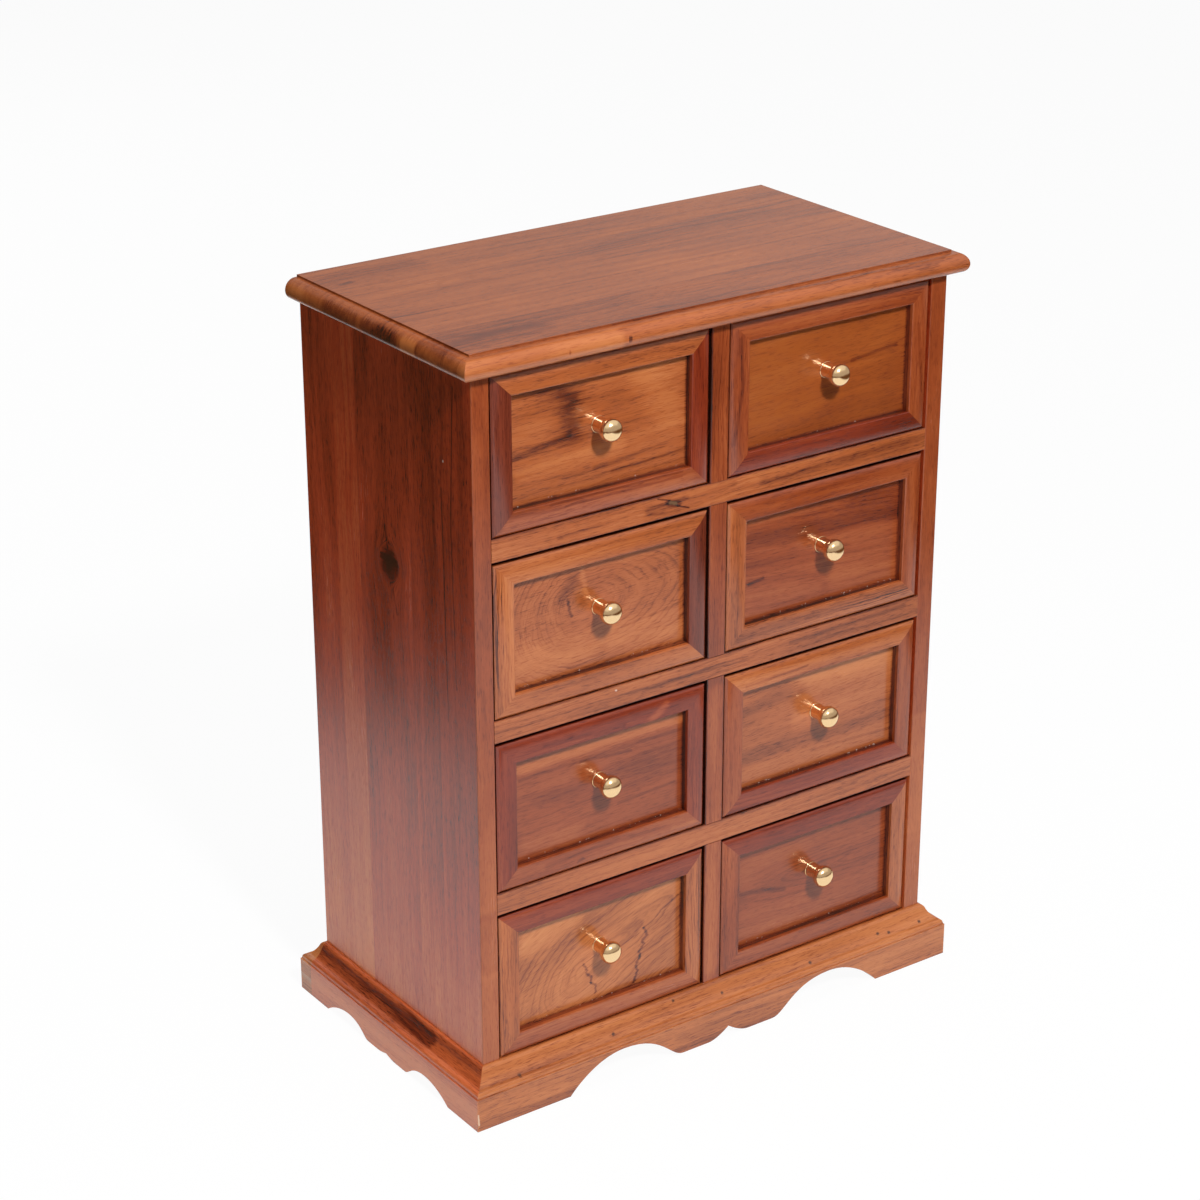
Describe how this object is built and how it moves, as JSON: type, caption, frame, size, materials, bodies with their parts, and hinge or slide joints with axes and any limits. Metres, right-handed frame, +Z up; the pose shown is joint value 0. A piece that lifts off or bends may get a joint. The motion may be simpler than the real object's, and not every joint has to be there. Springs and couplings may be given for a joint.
{
  "type": "chest of drawers",
  "caption": "Tabletop chest of drawers in varnished teak: framed drawers with brass knobs slide out of a board carcass under a moulded top, on a scalloped plinth.",
  "frame": {"origin": "middle of the footprint, on the floor", "axes": "+Z up, the drawer fronts face -Y, +X to the right as seen from the front"},
  "size_m": [0.3224, 0.1826, 0.4213],
  "materials": {
    "carcass_teak": "semi-gloss varnish",
    "drawer_teak": "semi-gloss varnish",
    "plywood": "plain sanded",
    "brass": "polished",
    "steel": "bright wire"
  },
  "bodies": {
    "cabinet": {"top_board": "carcass_teak", "left_side": "carcass_teak", "right_side": "carcass_teak", "bottom_board": "carcass_teak", "back_panel": "plywood", "shelf_1": "carcass_teak", "shelf_2": "carcass_teak", "shelf_3": "carcass_teak", "divider_1": "carcass_teak", "divider_2": "carcass_teak", "divider_3": "carcass_teak", "divider_4": "carcass_teak", "plinth_front": "carcass_teak", "plinth_left": "carcass_teak", "plinth_right": "carcass_teak", "plinth_back": "carcass_teak", "plinth_nails": "steel", "back_nails": "steel", "top_dowels": "carcass_teak"},
    "drawer_left_1": {"drawer_left_1_front": "drawer_teak", "drawer_left_1_frame": "drawer_teak", "drawer_left_1_walls": "drawer_teak", "drawer_left_1_bottom": "plywood", "drawer_left_1_knob": "brass"},
    "drawer_left_2": {"drawer_left_2_front": "drawer_teak", "drawer_left_2_frame": "drawer_teak", "drawer_left_2_walls": "drawer_teak", "drawer_left_2_bottom": "plywood", "drawer_left_2_knob": "brass"},
    "drawer_left_3": {"drawer_left_3_front": "drawer_teak", "drawer_left_3_frame": "drawer_teak", "drawer_left_3_walls": "drawer_teak", "drawer_left_3_bottom": "plywood", "drawer_left_3_knob": "brass"},
    "drawer_left_4": {"drawer_left_4_front": "drawer_teak", "drawer_left_4_frame": "drawer_teak", "drawer_left_4_walls": "drawer_teak", "drawer_left_4_bottom": "plywood", "drawer_left_4_knob": "brass"},
    "drawer_right_1": {"drawer_right_1_front": "drawer_teak", "drawer_right_1_frame": "drawer_teak", "drawer_right_1_walls": "drawer_teak", "drawer_right_1_bottom": "plywood", "drawer_right_1_knob": "brass"},
    "drawer_right_2": {"drawer_right_2_front": "drawer_teak", "drawer_right_2_frame": "drawer_teak", "drawer_right_2_walls": "drawer_teak", "drawer_right_2_bottom": "plywood", "drawer_right_2_knob": "brass"},
    "drawer_right_3": {"drawer_right_3_front": "drawer_teak", "drawer_right_3_frame": "drawer_teak", "drawer_right_3_walls": "drawer_teak", "drawer_right_3_bottom": "plywood", "drawer_right_3_knob": "brass"},
    "drawer_right_4": {"drawer_right_4_front": "drawer_teak", "drawer_right_4_frame": "drawer_teak", "drawer_right_4_walls": "drawer_teak", "drawer_right_4_bottom": "plywood", "drawer_right_4_knob": "brass"}
  },
  "joints": [
    {"name": "drawer_left_1_slide", "type": "slide", "parent": "cabinet", "child": "drawer_left_1", "axis": [0, -1, 0], "range_m": [0, 0.11]},
    {"name": "drawer_left_2_slide", "type": "slide", "parent": "cabinet", "child": "drawer_left_2", "axis": [0, -1, 0], "range_m": [0, 0.11]},
    {"name": "drawer_left_3_slide", "type": "slide", "parent": "cabinet", "child": "drawer_left_3", "axis": [0, -1, 0], "range_m": [0, 0.11]},
    {"name": "drawer_left_4_slide", "type": "slide", "parent": "cabinet", "child": "drawer_left_4", "axis": [0, -1, 0], "range_m": [0, 0.11]},
    {"name": "drawer_right_1_slide", "type": "slide", "parent": "cabinet", "child": "drawer_right_1", "axis": [0, -1, 0], "range_m": [0, 0.11]},
    {"name": "drawer_right_2_slide", "type": "slide", "parent": "cabinet", "child": "drawer_right_2", "axis": [0, -1, 0], "range_m": [0, 0.11]},
    {"name": "drawer_right_3_slide", "type": "slide", "parent": "cabinet", "child": "drawer_right_3", "axis": [0, -1, 0], "range_m": [0, 0.11]},
    {"name": "drawer_right_4_slide", "type": "slide", "parent": "cabinet", "child": "drawer_right_4", "axis": [0, -1, 0], "range_m": [0, 0.11]}
  ]
}
